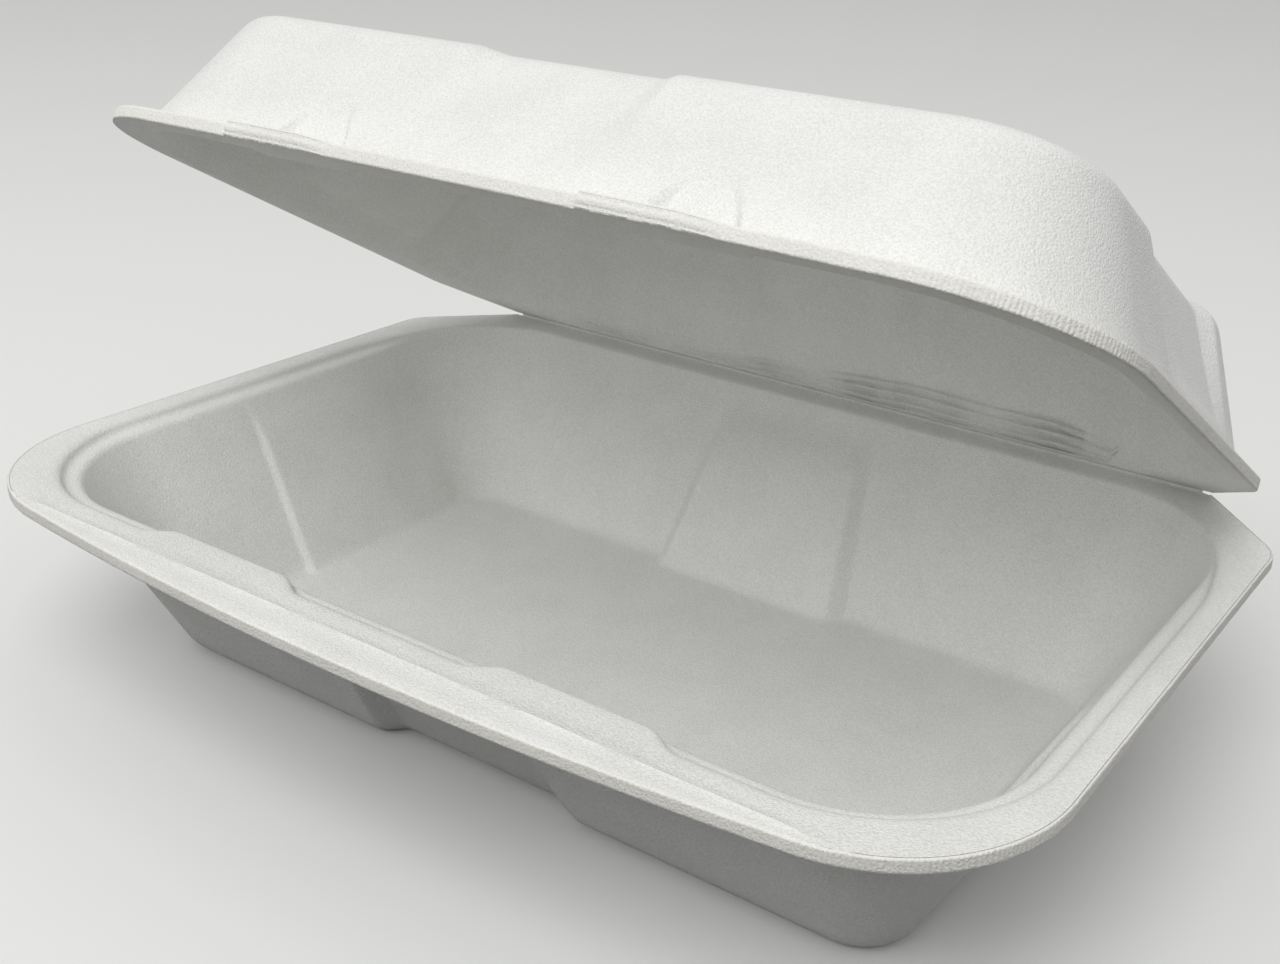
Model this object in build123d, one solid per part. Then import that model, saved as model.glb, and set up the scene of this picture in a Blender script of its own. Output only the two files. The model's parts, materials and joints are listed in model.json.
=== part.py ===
from build123d import *
import os
from math import atan, cos, degrees, sin

# Hinged-lid food container, formed from one sheet of white foam and folded along a crease.
# The base tray stands on its floor. The lid tray turns on the crease and stands part way open.
# Origin at the centre of the underside of the floor, +X along the crease, -Y to the front, +Z up.
# Each tray is drawn mouth down, with the mating face of its rim at zero height and its plate above.

# The sheet and the crease
sheet = 2.6
crease_offset = 76.5
crease_gap = 0.15
crease_chamfer = 2.4
rim_gap = 0.3
lid_open_deg = 30.0
overrun = 4.0

# Rim of the base; its rear corners are cut off at a slant up to the crease
rim_length = 235.0
rim_front = 75.0
rim_corner_radius = 32.0
rear_cut_width = 19.5
rear_cut_offset = 56.0
rear_nose_radius = 9.0
crease_length = rim_length - 2 * rear_cut_width

# Seat step inside the base's rim, with two lugs on its front
end_flange = 5.5
front_flange = 4.5
seat_length = rim_length - 2 * end_flange
seat_front = rim_front - front_flange
seat_rear = 60.0
seat_drop = 4.0
lug_offset = 41.5
lug_length = 36.0
lug_depth = 2.2
lug_end_deg = 35.0
lug_end_radius = 4.5
mouth_edge_radius = 1.4

# Base tray
base_height = 44.0
seat_width = 2.5
rear_flange = 7.0
base_mouth_length = seat_length - 2 * seat_width
base_mouth_front = seat_front - seat_width
base_mouth_rear = crease_offset - rear_flange
base_mouth_radius = 30.0
base_wall_run = 22.0
base_foot_radius = 6.0
base_bow = 8.0
front_lip_offset = 74.0
front_lip_droop_deg = 6.0

# Lid tray; its rim is smaller than the seat step
lid_depth = 31.5
lid_end_gap = 0.5
lid_front_gap = 3.3
lid_end_flange = 5.0
lid_front_flange = 5.2
lid_rim_length = seat_length - 2 * lid_end_gap
lid_rim_front = seat_front - lid_front_gap
lid_mouth_length = lid_rim_length - 2 * lid_end_flange
lid_mouth_front = lid_rim_front - lid_front_flange
lid_mouth_radius = 32.0
lid_wall_run = 12.0
lid_foot_radius = 6.5
lid_bow = 3.0
hinge_foot = 1.0
hinge_bevel_height = 8.0
hinge_bevel_run = 5.0

# Latch lips on the lid's front edge, and the wedge pocket behind each
lip_offset = 41.5
lip_length = 30.0
lip_proud = 1.0
lip_rise = 0.5
lip_depth = 6.0
pocket_offset = 43.0
pocket_height = 10.0
pocket_foot_width = 16.0
pocket_top_width = 6.0
pocket_inset = 2.0
pocket_side_share = 0.35

# Inset panel in the middle of every wall
base_panel_inset = 4.0
base_panel_side_share = 1.1
lid_panel_inset = 3.0
lid_panel_side_share = 2.0
panel_fade = 7.0
long_panel_plate_width = 48.0
long_panel_fade_width = 42.0
end_panel_plate_width = 40.0
end_panel_fade_width = 34.0


class TrayWall:
    """Tapered wall of a tray that stands mouth down, with the rim's mating face at zero height."""

    def __init__(self, length, front, rear, radius, run, depth):
        self.length = length
        self.width = front + rear
        self.centre = (rear - front) / 2
        self.radius = radius
        self.depth = depth
        self.floor = depth - sheet
        self.slope = run / self.floor
        self.skin = sheet / cos(atan(self.slope))

    def solid(self, low, high, grow, foot_radius):
        """Tapered solid inside the wall, grown outward from the inside face, with a rounded plate edge."""
        spread = grow - self.slope * low
        outline = Pos(0, self.centre, low) * RectangleRounded(
            self.length + 2 * spread,
            self.width + 2 * spread,
            self.radius + spread,
        )
        block = extrude(outline, high - low, taper=degrees(atan(self.slope)))
        return fillet(block.edges().group_by(Axis.Z)[-1], foot_radius)


def inset_block(half, slope, flush, deep, stop, flush_width, deep_width, inset, side_share):
    """Block outside an inset face of the front wall: flush with it at one height, inset at the deep one."""

    def corner(height, side, reach):
        share = (height - flush) / (deep - flush)
        width = flush_width + (deep_width - flush_width) * share
        face = half - slope * height - inset * share
        return (side * (width / 2 + side_share * reach), -face - reach, height)

    places = ((flush, -1), (flush, 1), (stop, 1), (stop, -1))
    near = [corner(height, side, 0) for height, side in places]
    far = [corner(height, side, inset + sheet + overrun) for height, side in places]
    rings = [near, far]
    rings += [(near[i - 1], near[i], far[i], far[i - 1]) for i in range(len(places))]
    return Solid(Shell([make_face(Polyline(*ring, close=True)).face() for ring in rings]))


def side_spread(wall, grow, side_share):
    """Extra width of an inset block at the inside of the sheet, so that its sides keep the thickness."""
    flare = atan(side_share)
    return 2 * (wall.skin - grow) * (1 - sin(flare)) / cos(flare)


def panels(wall, grow, inset, side_share):
    """Blocks outside the inset panels of the four walls."""
    spread = side_spread(wall, grow, side_share)
    sides = (
        (wall.width / 2, long_panel_fade_width, long_panel_plate_width, (0, 180)),
        (wall.length / 2, end_panel_fade_width, end_panel_plate_width, (90, 270)),
    )
    blocks = []
    for half, fade_width, plate_width, turns in sides:
        block = inset_block(
            half + grow,
            wall.slope,
            panel_fade,
            wall.floor,
            wall.depth + overrun,
            fade_width + spread,
            plate_width + spread,
            inset,
            side_share,
        )
        blocks += [Pos(0, wall.centre, 0) * Rot(0, 0, turn) * block for turn in turns]
    return blocks


def rim_outline(length, front, bow):
    """Die-cut edge of a rim: bowed front, round front corners, slanting rear corners, straight crease."""
    end = length / 2
    neck = crease_length / 2
    rear = crease_offset - crease_gap
    front_left = (-end, -front)
    front_right = (end, -front)
    edge = Curve() + [
        ThreePointArc(front_left, (0, -front - bow), front_right),
        Polyline(front_right, (end, rear_cut_offset), (neck, rear)),
        Polyline((neck, rear), (-neck, rear), (-end, rear_cut_offset), front_left),
    ]
    outline = make_face(edge)
    outline = fillet(outline.vertices().group_by(Axis.Y)[0], rim_corner_radius)
    noses = outline.vertices().filter_by_position(Axis.Y, rear_cut_offset - sheet, rear_cut_offset + sheet)
    return fillet(noses, rear_nose_radius)


def seat_outline(grow):
    """Outline of the seat step, which fades into the end walls, with the two lugs left standing."""
    outline = Pos(0, (seat_rear - seat_front) / 2) * RectangleRounded(
        seat_length + 2 * grow,
        seat_front + seat_rear + 2 * grow,
        base_mouth_radius + grow,
    )
    for side in (-1, 1):
        lug = Trapezoid(lug_length - 2 * grow, lug_depth, lug_end_deg)
        outline -= Pos(side * lug_offset, lug_depth / 2 - seat_front - grow) * lug
    reach = lug_length / 2 + lug_depth
    ends = outline.vertices().filter_by(lambda vertex: abs(abs(vertex.X) - lug_offset) < reach)
    return fillet(ends, lug_end_radius)


def build_base():
    """Base tray, mouth down: wall, seat step and a flange whose front lip droops."""
    wall = TrayWall(
        base_mouth_length,
        base_mouth_front,
        base_mouth_rear,
        base_mouth_radius,
        base_wall_run,
        base_height,
    )
    inset = (base_panel_inset, base_panel_side_share)
    body = wall.solid(0, base_height, wall.skin, base_foot_radius) - panels(wall, wall.skin, *inset)
    body += extrude(Pos(0, 0, sheet) * seat_outline(sheet), seat_drop)

    plate = extrude(rim_outline(rim_length, rim_front, base_bow), sheet)
    crease_edge = plate.edges().filter_by(Axis.X).group_by(Axis.Y)[-1].sort_by(Axis.Z)[-1]
    plate = chamfer(crease_edge, crease_chamfer)
    front_cut = Plane((0, -front_lip_offset, 0), x_dir=(1, 0, 0), z_dir=(0, -1, 0))
    lip = split(plate, bisect_by=front_cut, keep=Keep.TOP)
    body += split(plate, bisect_by=front_cut, keep=Keep.BOTTOM)
    body += lip.rotate(Axis((0, -front_lip_offset, 0), (-1, 0, 0)), front_lip_droop_deg)

    cavity = wall.solid(-overrun, wall.floor, 0, base_foot_radius - sheet) - panels(wall, 0, *inset)
    cavity += extrude(Pos(0, 0, -overrun) * seat_outline(0), overrun + seat_drop)
    tray = body - cavity
    mating_face = tray.faces().group_by(Axis.Z)[0].sort_by(SortBy.AREA)[-1]
    return fillet(mating_face.inner_wires()[0].edges(), mouth_edge_radius)


def build_lid():
    """Lid tray, mouth down: wall with its foot on the crease, flange, latch lips and wedge pockets."""
    wall = TrayWall(
        lid_mouth_length,
        lid_mouth_front,
        crease_offset - hinge_foot,
        lid_mouth_radius,
        lid_wall_run,
        lid_depth,
    )
    inset = (lid_panel_inset, lid_panel_side_share)
    outline = rim_outline(lid_rim_length, lid_rim_front, lid_bow)
    body = wall.solid(0, lid_depth, wall.skin, lid_foot_radius) - panels(wall, wall.skin, *inset)
    body -= pockets(wall, wall.skin)
    body += extrude(outline, sheet)
    body += latch_lips(outline)
    cavity = wall.solid(-overrun, wall.floor, 0, lid_foot_radius - sheet) - panels(wall, 0, *inset)
    cavity -= pockets(wall, 0)
    return body - cavity - hinge_bevel()


def pockets(wall, grow):
    """Blocks outside the wedge pockets in the foot of the lid's front wall."""
    spread = side_spread(wall, grow, pocket_side_share)
    block = inset_block(
        wall.width / 2 + grow,
        wall.slope,
        sheet + pocket_height,
        sheet,
        -overrun,
        pocket_top_width + spread,
        pocket_foot_width + spread,
        pocket_inset,
        pocket_side_share,
    )
    return [Pos(side * pocket_offset, wall.centre, 0) * block for side in (-1, 1)]


def latch_lips(outline):
    """Round-ended lips that stand proud of the lid's front edge."""
    grown = offset(outline, lip_proud)
    lips = []
    for side in (-1, 1):
        strip = Pos(side * lip_offset, -lid_rim_front - lid_bow) * RectangleRounded(
            lip_length,
            lip_depth,
            lip_depth / 2 - lip_proud,
        )
        lips.append(extrude(grown & strip, sheet + lip_rise))
    return lips


def hinge_bevel():
    """Block that thins the foot of the lid's rear wall to an edge at the crease."""
    rear = crease_offset - crease_gap
    profile = Polyline(
        (rear, -overrun),
        (rear, 0),
        (rear + hinge_bevel_run, hinge_bevel_height),
        (rear + hinge_bevel_run + overrun, -overrun),
        close=True,
    )
    section = Plane.YZ.offset(-rim_length / 2) * make_face(profile)
    return extrude(section, rim_length)


base_tray = Pos(0, 0, base_height) * Rot(0, 180, 0) * build_base()

crease = Axis((0, crease_offset, base_height + rim_gap / 2), (-1, 0, 0))
lid_shut = Pos(0, 0, base_height + rim_gap) * build_lid()
lid_tray = lid_shut.rotate(crease, lid_open_deg)

os.makedirs("parts", exist_ok=True)
export_step(base_tray, "parts/base_tray.step")
export_step(lid_tray, "parts/lid_tray.step")
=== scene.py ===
"""White foam container with a hinged lid: dressed trays, cut edges, crease, studio and camera."""

import json
import logging
import math
from dataclasses import dataclass
from enum import Enum

import bpy
import numpy as np
from mathutils import Matrix, Vector


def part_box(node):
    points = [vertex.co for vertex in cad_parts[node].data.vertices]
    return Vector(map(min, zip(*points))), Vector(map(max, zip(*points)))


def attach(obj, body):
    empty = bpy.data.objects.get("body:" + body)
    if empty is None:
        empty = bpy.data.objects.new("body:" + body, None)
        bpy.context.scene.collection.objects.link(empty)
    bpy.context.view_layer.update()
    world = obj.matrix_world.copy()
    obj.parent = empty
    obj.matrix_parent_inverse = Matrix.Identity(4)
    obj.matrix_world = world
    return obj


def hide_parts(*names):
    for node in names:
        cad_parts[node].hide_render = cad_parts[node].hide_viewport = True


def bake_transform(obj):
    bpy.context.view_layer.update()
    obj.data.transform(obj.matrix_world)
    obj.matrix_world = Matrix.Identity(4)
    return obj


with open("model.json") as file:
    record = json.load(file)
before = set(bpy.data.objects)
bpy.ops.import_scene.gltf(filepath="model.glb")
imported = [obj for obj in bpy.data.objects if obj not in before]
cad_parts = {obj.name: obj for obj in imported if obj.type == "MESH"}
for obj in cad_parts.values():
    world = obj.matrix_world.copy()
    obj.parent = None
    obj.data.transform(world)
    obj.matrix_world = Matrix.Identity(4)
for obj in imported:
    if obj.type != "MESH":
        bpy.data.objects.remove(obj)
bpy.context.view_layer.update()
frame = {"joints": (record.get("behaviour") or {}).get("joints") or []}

log = logging.getLogger("foam_container")

MM = 0.001

# Sizes are in millimetres until a mesh is made.
CREASE_GAP = 0.15
BEND_SHARE = 0.48
SHORTEST = 1e-6
PARALLEL = 1e-9
WAVE_SHARES = (1.0, 0.57, 0.31, 0.17)
WAVE_PEAK = 2.0
PLATE_SHARES = (0.55, 0.75, 0.9, 0.97)

Array = np.ndarray
Loop = tuple[Array, Array]
Colour = tuple[float, float, float]
Socket = bpy.types.NodeSocket


class Side(Enum):
    """Side of a tray, in the order that the stations go round it."""

    FRONT = 0
    RIGHT = 1
    REAR = 2
    LEFT = 3
    CORNER = 4


class Face(Enum):
    """Face of the sheet: the one that food touches, or the one seen from outside."""

    INNER = 0
    OUTER = 1


def smooth(value: Array) -> Array:
    """Smooth step from 0 to 1 as the value goes from 0 to 1."""
    t = np.clip(value, 0.0, 1.0)
    return t * t * (3.0 - 2.0 * t)


def plateau(place: Array, half: Array | float, soft: float) -> Array:
    """Mask that is 1 within the half width and falls smoothly to 0 over the soft width outside it."""
    return 1.0 - smooth((np.abs(place) - half) / soft)


def slanted(place: Array, half: Array | float, run: Array | float) -> Array:
    """Mask that is 1 within the half width and falls straight to 0 over the run outside it."""
    return 1.0 - np.clip((np.abs(place) - half) / run, 0.0, 1.0)


def cross(a: Array, b: Array) -> Array:
    """Cross product of x and y in the last axis."""
    return a[..., 0] * b[..., 1] - a[..., 1] * b[..., 0]


def wobble(place: Array, period: float, seed: int) -> Array:
    """Uneven wave between about -1 and 1.

    Args:
        place: Positions along the edge.
        period: Length of the longest wave.
        seed: Seed of the waves' phases.

    Returns:
        The sum of a few sines with unrelated lengths, at each position.
    """
    rng = np.random.default_rng(seed)
    total = np.zeros_like(place)
    for share in WAVE_SHARES:
        phase = rng.uniform(0, math.tau)
        total += math.sqrt(share) * np.sin(math.tau * place / (period * share) + phase)
    return total / WAVE_PEAK


def graded(half: float, marks: tuple[float, ...], fine: float, coarse: float, reach: float) -> Array:
    """Places along a side, close together near its marks and mirrored about its middle.

    Args:
        half: Half length of the side.
        marks: Distances from the middle that need close places.
        fine: Spacing near a mark.
        coarse: Spacing elsewhere.
        reach: How far from a mark the close spacing goes.

    Returns:
        Ascending places from minus half to half.
    """
    places = [0.0]
    while places[-1] < half:
        room = min((abs(places[-1] - mark) for mark in marks), default=half) - reach
        places.append(places[-1] + min(max(room, fine), coarse))
    right = np.array(places) * half / places[-1]
    return np.concatenate([-right[:0:-1], right])


@dataclass
class RimOutline:
    """Die-cut edge of a rim: bowed front, round front corners, slanting rear corners, straight crease."""

    length: float
    front: float
    bow: float
    rear: float
    corner_radius: float = 32.0
    cut_offset: float = 56.0
    nose_radius: float = 9.0
    neck: float = 98.0

    def right_half(self, step: float) -> Array:
        """Points from the middle of the front round the right end to the neck of the crease.

        Args:
            step: Largest spacing of the points.

        Returns:
            Points as rows of x and y.
        """
        end = self.length / 2
        bow_radius = (end**2 + self.bow**2) / (2 * self.bow)
        bow_y = bow_radius - self.front - self.bow
        r = self.corner_radius
        corner = np.array([end - r, bow_y - math.sqrt((bow_radius - r) ** 2 - (end - r) ** 2)])
        meet = math.atan2(corner[1] - bow_y, corner[0])
        front = self._arc(np.array([0.0, bow_y]), bow_radius, -math.pi / 2, meet, step)
        turn = self._arc(corner, r, meet, 0.0, step)

        slant = np.array([self.neck - end, self.rear - self.cut_offset])
        slant /= np.linalg.norm(slant)
        bend_angle = math.atan2(-slant[0], slant[1])
        set_back = self.nose_radius * math.tan(bend_angle / 2)
        nose = np.array([end - self.nose_radius, self.cut_offset - set_back])
        tip = self._arc(nose, self.nose_radius, 0.0, bend_angle, step)
        neck = np.array([[self.neck, self.rear]])
        return self._filled(np.concatenate([front, turn[1:], tip, neck]), step)

    def ring(self, step: float) -> Array:
        """Outline from the left neck round the front to the right neck, as rows of x and y."""
        half = self.right_half(step)
        return np.concatenate([half[:0:-1] * np.array([-1.0, 1.0]), half])

    @staticmethod
    def _arc(centre: Array, radius: float, start: float, stop: float, step: float) -> Array:
        """Points on an arc between two angles in radians, as rows of x and y."""
        angle = np.linspace(start, stop, max(2, math.ceil(abs(stop - start) * radius / step)))
        return centre + radius * np.stack([np.cos(angle), np.sin(angle)], axis=1)

    @staticmethod
    def _filled(points: Array, step: float) -> Array:
        """The same line with no spacing larger than the step.

        Args:
            points: Points as rows of x and y.
            step: Largest spacing.

        Returns:
            The points with more between those that lie far apart.
        """
        out = [points[0]]
        for a, b in zip(points, points[1:]):
            count = max(1, math.ceil(float(np.linalg.norm(b - a)) / step))
            out += [a + (b - a) * (i + 1) / count for i in range(count)]
        return np.array(out)

    def reach(self, stations: "Stations", step: float) -> Array:
        """Distance from each station's core point to the outline, along the station's direction.

        Args:
            stations: Stations round the tray.
            step: Spacing of the outline's points.

        Returns:
            One distance for each station.
        """
        ring = self.ring(step)
        edge = (np.roll(ring, -1, axis=0) - ring)[None]
        core = np.stack([stations.core_x, stations.core_y], axis=1)[:, None]
        way = np.stack([stations.out_x, stations.out_y], axis=1)[:, None]
        gap = ring[None] - core
        turn = cross(way, edge)
        turn = np.where(np.abs(turn) < PARALLEL, PARALLEL, turn)
        along = cross(gap, edge) / turn
        share = cross(gap, way) / turn
        hit = (share >= -SHORTEST) & (share <= 1 + SHORTEST) & (along > 0)
        return np.where(hit, along, np.inf).min(axis=1)


class Stations:
    """Points round the core rectangle of a tray, each with its outward direction."""

    def __init__(
        self,
        half_length: float,
        front: float,
        rear: float,
        places: dict[Side, Array],
        corner_steps: int,
    ) -> None:
        """Walks round the core rectangle, seen from above: front, right, rear, left.

        Args:
            half_length: Half length of the core rectangle.
            front: Distance of its front side from the origin.
            rear: Distance of its rear side from the origin.
            places: Places along each side, from its middle.
            corner_steps: Steps round each corner.
        """
        self.centre_y = (rear - front) / 2
        rows = []
        corners = {
            Side.FRONT: (half_length, -front, -90.0),
            Side.RIGHT: (half_length, rear, 0.0),
            Side.REAR: (-half_length, rear, 90.0),
            Side.LEFT: (-half_length, -front, 180.0),
        }
        lines = {
            Side.FRONT: lambda s: (s, -front, 0.0, -1.0),
            Side.RIGHT: lambda s: (half_length, self.centre_y + s, 1.0, 0.0),
            Side.REAR: lambda s: (-s, rear, 0.0, 1.0),
            Side.LEFT: lambda s: (-half_length, self.centre_y - s, -1.0, 0.0),
        }
        for side, line in lines.items():
            rows += [(*line(s), s, side.value) for s in places[side]]
            x, y, first = corners[side]
            for i in range(1, corner_steps):
                angle = math.radians(first + 90.0 * i / corner_steps)
                rows.append((x, y, math.cos(angle), math.sin(angle), 0.0, Side.CORNER.value))
        table = np.array(rows)
        self.core_x, self.core_y, self.out_x, self.out_y, self.run, self.side = table.T

    def on(self, *sides: Side) -> Array:
        """Mask of the stations on these sides."""
        return np.isin(self.side, [side.value for side in sides]).astype(float)

    def at(self, reach: Array) -> tuple[Array, Array]:
        """x and y of the points at this distance out from the core."""
        return self.core_x + reach * self.out_x, self.core_y + reach * self.out_y


def bend(before: Loop, corner: Loop, after: Loop, reach: Array | float, steps: int) -> list[Loop]:
    """Loops round a corner of the profile, as a smooth curve that leaves and joins its two straights.

    Args:
        before: Loop before the corner.
        corner: Loop at the sharp corner.
        after: Loop after the corner.
        reach: How far along each straight the curve starts.
        steps: Number of steps along the curve.

    Returns:
        The loops of the curve.
    """
    mid = np.stack(corner)
    ways = [np.stack(other) - mid for other in (before, after)]
    sizes = [np.maximum(np.linalg.norm(way, axis=0), SHORTEST) for way in ways]
    first, last = (
        mid + way / size * np.minimum(reach, BEND_SHARE * size) for way, size in zip(ways, sizes)
    )
    loops = []
    for t in np.linspace(0.0, 1.0, steps + 1):
        point = (1 - t) ** 2 * first + 2 * t * (1 - t) * mid + t**2 * last
        loops.append((point[0], point[1]))
    return loops


def mixed(a: Loop, b: Loop, share: Array | float) -> Loop:
    """Loop between two others."""
    return a[0] + (b[0] - a[0]) * share, a[1] + (b[1] - a[1]) * share


@dataclass
class Panels:
    """Inset panel in the middle of every wall: deep at the plate, flush near the rim."""

    inset: float
    long_plate_width: float
    long_fade_width: float
    long_side: float
    front_power: float
    rear_power: float
    end_inset: float
    end_plate_width: float
    end_fade_width: float
    end_front_side: float
    end_rear_side: float
    end_shift: float
    end_power: float
    fade: float = 7.0

    def spread(self, skin: float) -> float:
        """Extra half width at the inside of a sheet, so that the slanting sides keep its thickness."""
        share = self.long_side / self.inset
        return skin * (math.hypot(1.0, share) - share)

    def depth(self, stations: Stations, height: Array | float, floor: float, spread: float) -> Array:
        """How far the panels stand in from the wall at a height.

        Args:
            stations: Stations round the tray.
            height: Distance from the mating face.
            floor: Distance of the inner plate from the mating face.
            spread: Extra half width, for the face that is a sheet further in.

        Returns:
            Inset at each station.
        """
        share = np.maximum((height - self.fade) / (floor - self.fade), 0.0)
        ends = stations.on(Side.LEFT, Side.RIGHT)
        longs = stations.on(Side.FRONT, Side.REAR)
        rearward = stations.run * (stations.on(Side.RIGHT) - stations.on(Side.LEFT)) - self.end_shift
        place = np.where(ends > 0, rearward, stations.run)
        wide = longs * self.long_plate_width + ends * self.end_plate_width
        narrow = longs * self.long_fade_width + ends * self.end_fade_width
        half = (narrow + (wide - narrow) * share) / 2 + spread
        end_side = np.where(rearward > 0, self.end_rear_side, self.end_front_side)
        side = np.where(ends > 0, end_side, self.long_side)
        mask = slanted(place, half, side) * (longs + ends)
        long_power = np.where(stations.on(Side.REAR) > 0, self.rear_power, self.front_power)
        power = np.where(ends > 0, self.end_power, long_power)
        return np.where(ends > 0, self.end_inset, self.inset) * share**power * mask

    def marks(self, side: Side, spread: float) -> tuple[float, ...]:
        """Distances from a side's middle at which the panel's edges lie.

        Args:
            side: Side of the tray.
            spread: Extra width at the inside of the sheet.

        Returns:
            The distances.
        """
        if side in (Side.FRONT, Side.REAR):
            widths = (self.long_plate_width, self.long_fade_width)
            slants = ((self.long_side, 0.0),)
        else:
            widths = (self.end_plate_width, self.end_fade_width)
            slants = ((self.end_front_side, -self.end_shift), (self.end_rear_side, self.end_shift))
        edges = [(width + spread) / 2 for width in widths]
        return tuple(
            edge + shift + reach
            for edge in edges
            for slant, shift in slants
            for reach in (0.0, slant)
        )


@dataclass(frozen=True)
class WallRun:
    """Loops of one face of a wall: a rounding where it meets the plate, then even rows to the rim."""

    reach: float
    span: float
    clear: float
    rows: int
    steps: int = 6


@dataclass
class Tray:
    """What both trays share: one formed sheet with a tapered wall and a flange."""

    body: str
    node: str
    mouth_length: float
    mouth_front: float
    mouth_rear: float
    mouth_radius: float
    run: float
    depth: float
    rim: RimOutline
    panels: Panels
    sheet: float = 2.6
    rim_edge: float = 0.35
    rim_edge_steps: int = 2
    bend_steps: int = 6

    # Spacing of the stations and of the rim's points
    fine: float = 0.55
    coarse: float = 3.2
    mark_reach: float = 4.5
    corner_steps: int = 26
    outline_step: float = 0.6
    sharp_deg: float = 38.0
    plate_margin: float = 9.0
    core_margin: float = 0.6

    # How close to the crease a rim point counts as on it
    neck_soft: float = 0.5
    crease_reach: float = 1.0
    crease_soft: float = 0.9

    def __post_init__(self) -> None:
        """Works out the wall's slope, the stations and the rim's distance at each."""
        self.floor = self.depth - self.sheet
        self.slope = self.run / self.floor
        self.skin = self.sheet * math.hypot(1.0, self.slope)
        half_length = self.mouth_length / 2 - self.mouth_radius
        front = self.mouth_front - self.mouth_radius
        rear = self.mouth_rear - self.mouth_radius
        half_width = (front + rear) / 2
        halves = dict.fromkeys((Side.FRONT, Side.REAR), half_length)
        halves |= dict.fromkeys((Side.LEFT, Side.RIGHT), half_width)
        places = {
            side: graded(half, self.side_marks(side), self.fine, self.coarse, self.mark_reach)
            for side, half in halves.items()
        }
        self.stations = Stations(half_length, front, rear, places, self.corner_steps)
        self.rim_reach = self.rim.reach(self.stations, self.outline_step)
        x, y = self.stations.at(self.rim_reach)
        between_necks = plateau(x, self.rim.neck - self.neck_soft, self.neck_soft)
        self.on_crease = between_necks * smooth((y - self.rim.rear + self.crease_reach) / self.crease_soft)

    def side_marks(self, side: Side) -> tuple[float, ...]:
        """Distances from a side's middle that need close stations."""
        own = self.front_marks() if side is Side.FRONT else ()
        return self.panels.marks(side, self.panels.spread(self.skin)) + own

    def front_marks(self) -> tuple[float, ...]:
        """Distances from the front's middle at which its own forms start and end."""
        raise NotImplementedError

    def wall(self, height: Array | float, face: Face) -> Array:
        """Distance from the core of one face of the wall.

        Args:
            height: Distance from the mating face.
            face: Which face of the sheet.

        Returns:
            One distance for each station.
        """
        grow = self.skin if face is Face.OUTER else 0.0
        spread = 0.0 if face is Face.OUTER else self.panels.spread(self.skin)
        inset = self.panels.depth(self.stations, height, self.floor, spread)
        return self.mouth_radius + grow - self.slope * height - inset

    def level(self, height: float) -> Array:
        """The same height at every station."""
        return np.full_like(self.stations.run, height)

    def wall_loop(self, height: float, face: Face) -> Loop:
        """Loop on one face of the wall at a height from the mating face."""
        return self.wall(height, face), self.level(height)

    def wall_run(self, face: Face, run: WallRun, rim: float) -> list[Loop]:
        """Loops of one face of the wall, from inside the edge of its plate to near the rim.

        Args:
            face: Which face of the sheet.
            run: Rounding and rows of the face.
            rim: Height of the row nearest to the rim.

        Returns:
            The loops in order.
        """
        height = self.floor if face is Face.INNER else self.depth
        plate = self.wall_loop(height, face)
        inside = self.inward(plate)
        wall = self.wall_loop(height - run.span, face)
        rows = np.linspace(height - run.clear, rim, run.rows)
        loops = [inside] + bend(inside, plate, wall, run.reach, run.steps)
        return loops + [self.wall_loop(row, face) for row in rows]

    def inward(self, edge: Loop) -> Loop:
        """Loop on the plate inside its edge, kept outside the core rectangle."""
        return np.maximum(edge[0] - self.plate_margin, self.core_margin), edge[1]

    def plate_rings(self, edge: Loop, shares: tuple[float, ...]) -> list[Array]:
        """Rings of the plate inside its edge, each a share of the edge ring.

        Args:
            edge: Loop at the edge of the plate.
            shares: Sizes of the rings as shares of the edge ring, in the order wanted.

        Returns:
            Rings as rows of x, y and height.
        """
        outer = self.ring(edge)
        middle = outer * (0.0, 0.0, 1.0) + (0.0, self.stations.centre_y, 0.0)
        return [middle + (outer - middle) * share for share in shares]

    def ring(self, loop: Loop) -> Array:
        """Points of a loop as rows of x, y and height."""
        x, y = self.stations.at(loop[0])
        return np.stack([x, y, loop[1]], axis=1)

    def place(self, points: Array) -> Array:
        """Points of the tray's own drawing, moved to where the tray stands, in millimetres."""
        raise NotImplementedError

    def profile(self) -> list[Loop]:
        """Loops of the sheet, from the edge of the inner plate round the rim to that of the outer plate."""
        raise NotImplementedError

    def rings(self) -> list[Array]:
        """All rings of the tray, from the middle of the inner plate round the rim to the outer plate.

        Returns:
            Rings as rows of x, y and height.
        """
        loops = self.profile()
        rings = self.plate_rings(loops[0], PLATE_SHARES)
        rings += [self.ring(loop) for loop in loops]
        return rings + self.plate_rings(loops[-1], PLATE_SHARES[::-1])

    def build(self, name: str, finish: bpy.types.Material) -> bpy.types.Object:
        """Makes the tray's mesh and dresses it.

        Args:
            name: Name of the piece.
            finish: Material of the sheet.

        Returns:
            The piece.
        """
        rings = [self.place(ring) for ring in self.rings()]
        piece = lofted(name, rings, self.sharp_deg)
        piece.data.materials.append(finish)
        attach(piece, self.body)
        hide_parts(self.node)
        return piece


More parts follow.
